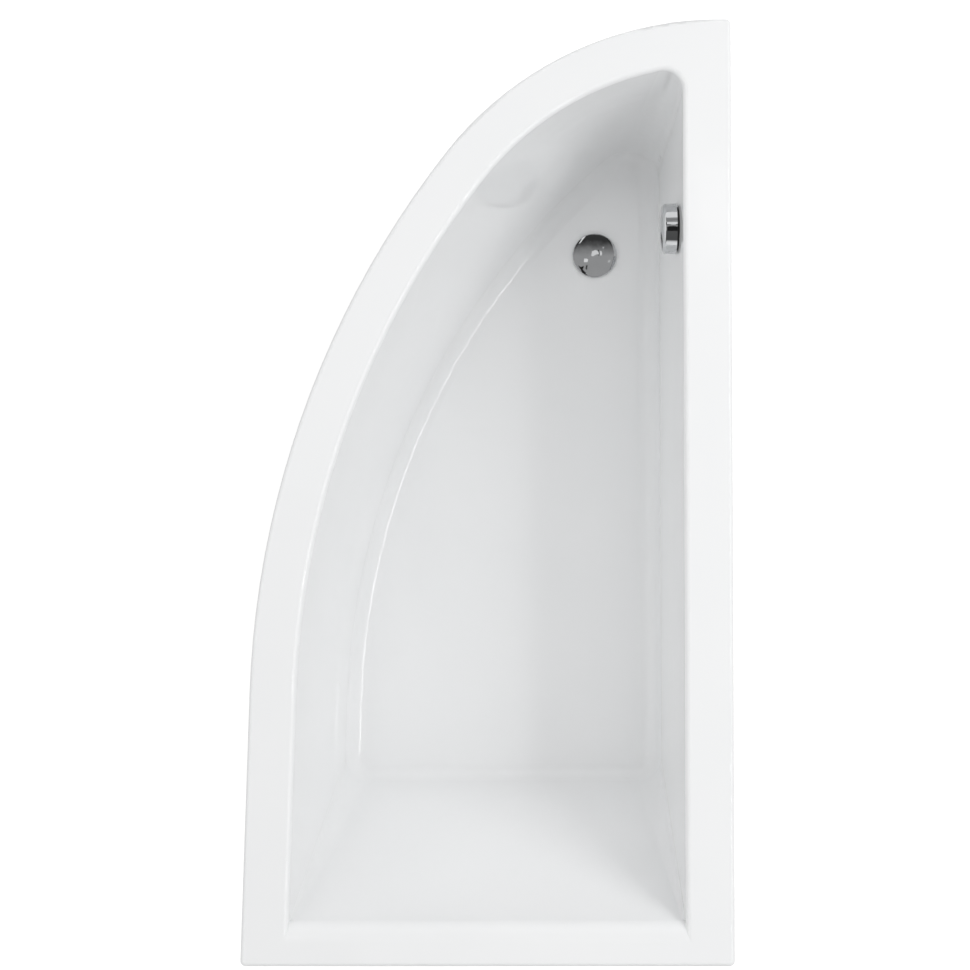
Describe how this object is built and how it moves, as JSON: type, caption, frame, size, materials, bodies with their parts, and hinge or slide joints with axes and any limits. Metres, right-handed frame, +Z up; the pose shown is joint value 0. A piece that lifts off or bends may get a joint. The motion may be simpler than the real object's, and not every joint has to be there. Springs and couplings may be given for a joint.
{
  "type": "bathtub",
  "caption": "Asymmetric built-in acrylic bathtub with a curved front, sloping backrest, pop-up waste, rotary overflow control and adjustable legs.",
  "frame": {"origin": "middle of the bounding box's base, on the ground under the leg pads", "axes": "+X towards the wall along the straight side, +Y towards the narrow foot end with the waste, +Z up"},
  "size_m": [0.75, 1.45, 0.58],
  "materials": {
    "acrylic": "polished sanitary acrylic",
    "laminate": "sprayed glass-fibre laminate",
    "chipboard": "raw chipboard",
    "timber": "sawn softwood",
    "zinc_steel": "zinc plated",
    "pad_plastic": "moulded",
    "chrome": "polished chrome",
    "rubber": "moulded rubber",
    "waste_plastic": "moulded polypropylene",
    "nut_plastic": "moulded polypropylene",
    "brass": "turned",
    "stainless": "drawn"
  },
  "bodies": {
    "bath": {"adjuster_nuts": "zinc_steel", "base_board": "chipboard", "bath_shell": "acrylic", "drain_body": "waste_plastic", "drain_flange": "chrome", "drain_gasket_bottom": "rubber", "drain_gasket_top": "rubber", "face_gasket": "rubber", "lock_nuts": "zinc_steel", "outlet_nut": "nut_plastic", "outlet_pipe": "waste_plastic", "outlet_seal": "rubber", "overflow_body": "waste_plastic", "overflow_bush": "waste_plastic", "overflow_gasket": "rubber", "overflow_pipe": "waste_plastic", "pipe_nut_bottom": "nut_plastic", "pipe_nut_top": "nut_plastic", "pipe_seal_bottom": "rubber", "pipe_seal_top": "rubber", "rail_foot": "zinc_steel", "rail_head": "zinc_steel", "rail_screws_foot": "zinc_steel", "rail_screws_head": "zinc_steel", "rim_batten_head": "timber", "rim_batten_wall": "timber", "rocker_pin": "brass", "rod_guide": "waste_plastic", "shell_laminate": "laminate", "trap_bend": "waste_plastic", "trap_nut_inlet": "nut_plastic", "trap_seal_inlet": "rubber"},
    "knob": {"overflow_knob": "chrome", "knob_screw": "stainless", "knob_spindle": "brass", "crank": "brass"},
    "lift_rod": {"push_rod": "stainless"},
    "rocker": {"rocker_arm": "stainless"},
    "plug": {"plug_cover": "chrome", "plug_stem": "brass", "plug_seal": "rubber"},
    "leg_head_front": {"foot_stud_head_front": "zinc_steel", "foot_pad_head_front": "pad_plastic"},
    "leg_head_wall": {"foot_stud_head_wall": "zinc_steel", "foot_pad_head_wall": "pad_plastic"},
    "leg_foot_front": {"foot_stud_foot_front": "zinc_steel", "foot_pad_foot_front": "pad_plastic"},
    "leg_foot_wall": {"foot_stud_foot_wall": "zinc_steel", "foot_pad_foot_wall": "pad_plastic"}
  },
  "joints": [
    {"name": "knob_turn", "type": "hinge", "parent": "bath", "child": "knob", "pos_m": [0.28935, 0.412, 0.49], "axis": [-1, 0, 0], "range_deg": [0, 90]},
    {"name": "rod_lift", "type": "slide", "parent": "bath", "child": "lift_rod", "axis": [0, 0, -1], "range_m": [0, 0.01273]},
    {"name": "rocker_tilt", "type": "hinge", "parent": "bath", "child": "rocker", "pos_m": [0.261, 0.412, 0.12131], "axis": [0, 1, 0], "range_deg": [0, 9.89]},
    {"name": "plug_lift", "type": "slide", "parent": "bath", "child": "plug", "axis": [0, 0, 1], "range_m": [0, 0.01379]},
    {"name": "leg_height_head_front", "type": "slide", "parent": "bath", "child": "leg_head_front", "axis": [0, 0, -1], "range_m": [-0.05, 0]},
    {"name": "leg_height_head_wall", "type": "slide", "parent": "bath", "child": "leg_head_wall", "axis": [0, 0, -1], "range_m": [-0.05, 0]},
    {"name": "leg_height_foot_front", "type": "slide", "parent": "bath", "child": "leg_foot_front", "axis": [0, 0, -1], "range_m": [-0.05, 0]},
    {"name": "leg_height_foot_wall", "type": "slide", "parent": "bath", "child": "leg_foot_wall", "axis": [0, 0, -1], "range_m": [-0.05, 0]}
  ],
  "couplings": [
    {"joint": "rod_lift", "follows": "knob_turn", "m_per_rad": 0.0081028},
    {"joint": "rocker_tilt", "follows": "knob_turn", "ratio": 0.10986},
    {"joint": "plug_lift", "follows": "knob_turn", "m_per_rad": 0.0087776}
  ]
}
